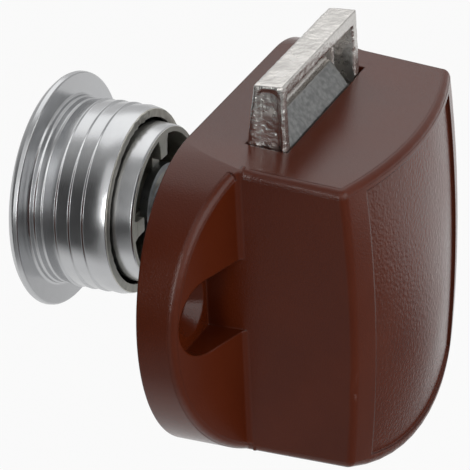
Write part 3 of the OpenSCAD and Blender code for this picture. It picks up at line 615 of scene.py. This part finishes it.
def make_bolt():
    whole = copy_of("bolt")
    head = worked(
        half_of(whole, BOLT_SPLIT_Z, True),
        [
            ("REMESH", {"mode": "VOXEL", "voxel_size": BOLT_VOXEL_MM * MM}),
            ("SMOOTH", {"factor": 0.5, "iterations": BOLT_SMOOTHING}),
        ],
    )
    spots = []
    for point in head.vertices:
        place = point.co / MM
        swell = sum(h * noise.noise(place / size + Vector(away)) for h, size, away in BOLT_LUMPS)
        spots.extend(point.co + point.normal * swell * MM)
    head.vertices.foreach_set("co", spots)
    head.update()
    finished_piece(
        "bolt_head", head, cast_nickel, "bolt", "bolt_unit", sharp_degrees=80.0
    )
    legs = half_of(whole, BOLT_SPLIT_Z, False)
    finished_piece("bolt_legs", legs, cast_nickel, "bolt", "bolt_unit")


# Housing: the CAD shell with its screw ears' top in the same leaning plane as the body's, and with
# lips that bring the slot's edges as close to the bolt as on the real lock. EAR_Y is the stretch
# in which the ears' top is cut, and the lips run from one area (x0, y0, x1, y1) to the next.
EAR_Y = (-2, 8.95)
SLOT_LIPS = (-15.7, 6.2, 13.2, 13.4)
SLOT_OPENING = (-13.7, 6.9, 12.4, 12.42)
SLOT_LIP_T = 1.5

# Distances that keep the faces of a cutter or a lip off the top face, and the size of the slivers
# that are joined after the cuts
CUT_ABOVE_MM = 0.004
LIP_BELOW_MM = 0.006
SLIVER_MM = 0.004


def top_at(along):
    """Height of the housing's top face at a place along Y."""
    return TOP_Z - along * TOP_LEAN


def corners_of(x0, y0, x1, y1, height):
    """The corners of a rectangle, at the heights that a function gives for each place along Y."""
    return [(x, y, height(y)) for x, y in ((x0, y0), (x1, y0), (x1, y1), (x0, y1))]


def block(area, low, high):
    """Points and faces of a block over an area, between two functions for the height."""
    points = corners_of(*area, low) + corners_of(*area, high)
    faces = [(3, 2, 1, 0), (4, 5, 6, 7), (0, 1, 5, 4), (1, 2, 6, 5), (2, 3, 7, 6), (3, 0, 4, 7)]
    return points, faces


def collar(outer, inner, low, high):
    """Points and faces of a frame between two areas, between two functions for the height."""
    points = []
    for height in (low, high):
        points += corners_of(*outer, height) + corners_of(*inner, height)
    faces = []
    for i, j in ((0, 1), (1, 2), (2, 3), (3, 0)):
        faces += [(i, j, 8 + j, 8 + i), (4 + j, 4 + i, 12 + i, 12 + j)]
        faces += [(8 + i, 8 + j, 12 + j, 12 + i), (j, i, 4 + i, 4 + j)]
    return points, faces


def keep_curves(mesh, original):
    """Gives each corner the surface direction it had on the original, and new ones their face's."""

    def spot(mesh_like, corner):
        """The corner's place as a key, rounded to 0.002 mm."""
        point = mesh_like.vertices[mesh_like.loops[corner].vertex_index].co
        return tuple(round(c / MM * 500) for c in point)

    known = {}
    for face in original.polygons:
        for corner in face.loop_indices:
            direction = Vector(original.corner_normals[corner].vector)
            known.setdefault(spot(original, corner), []).append((face.normal.copy(), direction))
    directions = [None] * len(mesh.loops)
    for face in mesh.polygons:
        for corner in face.loop_indices:
            pairs = known.get(spot(mesh, corner), [])
            same = max(pairs, key=lambda pair: pair[0].dot(face.normal), default=None)
            alike = same is not None and same[0].dot(face.normal) > 0.97
            directions[corner] = same[1] if alike else face.normal.copy()
    mesh.normals_split_custom_set(directions)


def make_housing():
    above = block((-40, EAR_Y[0], 40, EAR_Y[1]), lambda y: top_at(y) + CUT_ABOVE_MM, lambda y: 24)
    lips = collar(
        SLOT_LIPS,
        SLOT_OPENING,
        lambda y: top_at(y) - SLOT_LIP_T,
        lambda y: top_at(y) - LIP_BELOW_MM,
    )
    shell = worked(
        copy_of("housing"),
        [
            ("BOOLEAN", {"operation": "DIFFERENCE", "solver": "EXACT", "object": mesh_of(*above)}),
            ("BOOLEAN", {"operation": "UNION", "solver": "EXACT", "object": mesh_of(*lips)}),
        ],
    )
    with edited(shell) as work:
        bmesh.ops.remove_doubles(work, verts=work.verts, dist=SLIVER_MM * MM)
        bmesh.ops.dissolve_degenerate(work, edges=work.edges, dist=SLIVER_MM * MM)
    finished_piece("housing_shell", shell, housing_abs, "housing", "root")
    keep_curves(shell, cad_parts["housing"].data)


round_edges(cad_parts["latch_track"], 0.15)
make_rosette()
make_knob()
make_bolt()
make_housing()

# Studio: a pale floor below the lock, which the camera sees white, and a room that is bright on the
# cabinet's side and above. What metal and plastic mirror is set apart: dim on the door's side, and
# white paper behind the camera.
FLOOR_Z_MM = -72.0
FLOOR_HALF_MM = 1500.0
FLOOR_SEEN_WHITE = 0.93
BRIGHT_SIDE = (-0.75, -0.2, 0.63)
ROOM_LIGHT = 0.66
WHITE = linear("#FFFFFF")
ORIGIN = (0, 0, 0)


def seen_white(tree, lit, share, mirrored):
    """Shows the camera mostly white and mirrors the given colour, in place of the lit one."""
    path = add(tree, "ShaderNodeLightPath").outputs
    shiny = add(
        tree,
        "ShaderNodeMath",
        {0: path["Is Glossy Ray"], 1: path["Is Transmission Ray"]},
        operation="MAXIMUM",
    ).outputs[0]
    direct = add(
        tree, "ShaderNodeMath", {0: path["Is Camera Ray"], 1: share}, operation="MULTIPLY"
    ).outputs[0]
    white = add(tree, "ShaderNodeEmission", {"Color": WHITE, "Strength": 1.0}).outputs[0]
    for_camera = add(tree, "ShaderNodeMixShader", {0: direct, 1: lit, 2: white}).outputs[0]
    return add(tree, "ShaderNodeMixShader", {0: shiny, 1: for_camera, 2: mirrored}).outputs[0]


def make_floor():
    mesh = bpy.data.meshes.new("floor")
    half, height = FLOOR_HALF_MM * MM, FLOOR_Z_MM * MM
    corners = [(x * half, y * half, height) for x, y in ((-1, -1), (1, -1), (1, 1), (-1, 1))]
    mesh.from_pydata(corners, [], [(0, 1, 2, 3)])
    floor = placed("floor", mesh)
    made, tree, place = start_material("pale_floor")
    paper = add(tree, "ShaderNodeBsdfDiffuse", {"Color": linear("#D2D2D0")})
    axes = add(tree, "ShaderNodeSeparateXYZ", {0: place}).outputs
    # Brightness in mirrors, by the place on the floor: dim past the door and under the lock, and
    # brighter on the cabinet's side with distance
    door = add(tree, "ShaderNodeMapRange", span(axes["Y"], -65.0, -40.0, 0.08, 0.4)).outputs[0]
    under = add(tree, "ShaderNodeMapRange", span(axes["X"], 80.0, 45.0, 0.0, 1.0)).outputs[0]
    door_side = add(tree, "ShaderNodeMix", {0: under, 2: door, 3: 0.85}).outputs[0]
    cabinet_side = add(
        tree, "ShaderNodeMapRange", span(axes["X"], -85.0, -125.0, 0.2, 0.85)
    ).outputs[0]
    behind = add(tree, "ShaderNodeMapRange", span(axes["Y"], 20.0, 60.0, 0.0, 1.0)).outputs[0]
    glow = add(tree, "ShaderNodeMix", {0: behind, 2: door_side, 3: cabinet_side}).outputs[0]
    mirrored = add(tree, "ShaderNodeEmission", {"Color": WHITE, "Strength": glow}).outputs[0]
    mixed = seen_white(tree, paper.outputs[0], FLOOR_SEEN_WHITE, mirrored)
    add(tree, "ShaderNodeOutputMaterial", {"Surface": mixed})
    mesh.materials.append(made)


def make_world():
    world = bpy.data.worlds.new("studio")
    bpy.context.scene.world = world
    world.use_nodes = True
    tree = world.node_tree
    tree.nodes.clear()
    toward = add(tree, "ShaderNodeTexCoord").outputs["Generated"]
    bright = add(
        tree, "ShaderNodeVectorMath", {0: toward, 1: BRIGHT_SIDE}, operation="DOT_PRODUCT"
    ).outputs["Value"]
    glow = add(tree, "ShaderNodeMapRange", span(bright, -0.1, 0.95, 0.08, 0.72)).outputs[0]
    dim = add(tree, "ShaderNodeMath", {0: glow, 1: ROOM_LIGHT}, operation="MULTIPLY").outputs[0]
    room = add(tree, "ShaderNodeBackground", {"Color": WHITE, "Strength": dim}).outputs[0]
    # The white paper behind the camera starts a little way from the door's side, which stays dark
    axes = add(tree, "ShaderNodeSeparateXYZ", {0: toward}).outputs
    front = add(tree, "ShaderNodeMapRange", span(axes["X"], 0.15, 0.45, 0.0, 0.95)).outputs[0]
    past_door = add(tree, "ShaderNodeMapRange", span(axes["Y"], -0.32, -0.2, 0.0, 1.0)).outputs[0]
    card = add(tree, "ShaderNodeMath", {0: front, 1: past_door}, operation="MULTIPLY").outputs[0]
    both = add(tree, "ShaderNodeMath", {0: glow, 1: card}, operation="MAXIMUM").outputs[0]
    mirrored = add(tree, "ShaderNodeBackground", {"Color": WHITE, "Strength": both}).outputs[0]
    add(tree, "ShaderNodeOutputWorld", {"Surface": seen_white(tree, room, 1.0, mirrored)})


def make_lamp(name, place_mm, size_mm, watts):
    """A rectangular lamp that is turned to the lock."""
    data = bpy.data.lights.new(name, "AREA")
    data.shape = "RECTANGLE"
    data.size, data.size_y = size_mm[0] * MM, size_mm[1] * MM
    data.energy = watts
    lamp = placed(name, data)
    lamp.location = Vector(place_mm) * MM
    toward = Vector(ORIGIN) - Vector(place_mm)
    lamp.rotation_euler = toward.to_track_quat("-Z", "Y").to_euler()


def make_camera():
    """The photograph's view, from a least-squares fit of the lock's edges and circles to it."""
    place, aim = Vector((312.63, 143.21, 179.39)) * MM, Vector((1.33, -0.13, -2.18)) * MM
    roll, lens_mm, sensor_mm = math.radians(-2.826), 230.54, 36.0
    data = bpy.data.cameras.new("camera")
    data.lens, data.sensor_width = lens_mm, sensor_mm
    data.clip_start, data.clip_end = 0.01, 10.0
    camera = placed("camera", data)
    turn = (aim - place).to_track_quat("-Z", "Y").to_matrix().to_4x4()
    camera.matrix_world = Matrix.Translation(place) @ turn @ Matrix.Rotation(roll, 4, "Z")
    bpy.context.scene.camera = camera


make_floor()
make_world()
make_lamp("key_softbox", (-250, -150, 420), (500, 500), 0.6)
make_lamp("rim_softbox", (330, -15, 65), (50, 160), 0.17)
make_lamp("side_softbox", (60, 480, 160), (500, 500), 1.2)
make_camera()
bpy.context.scene.view_settings.view_transform = "Standard"
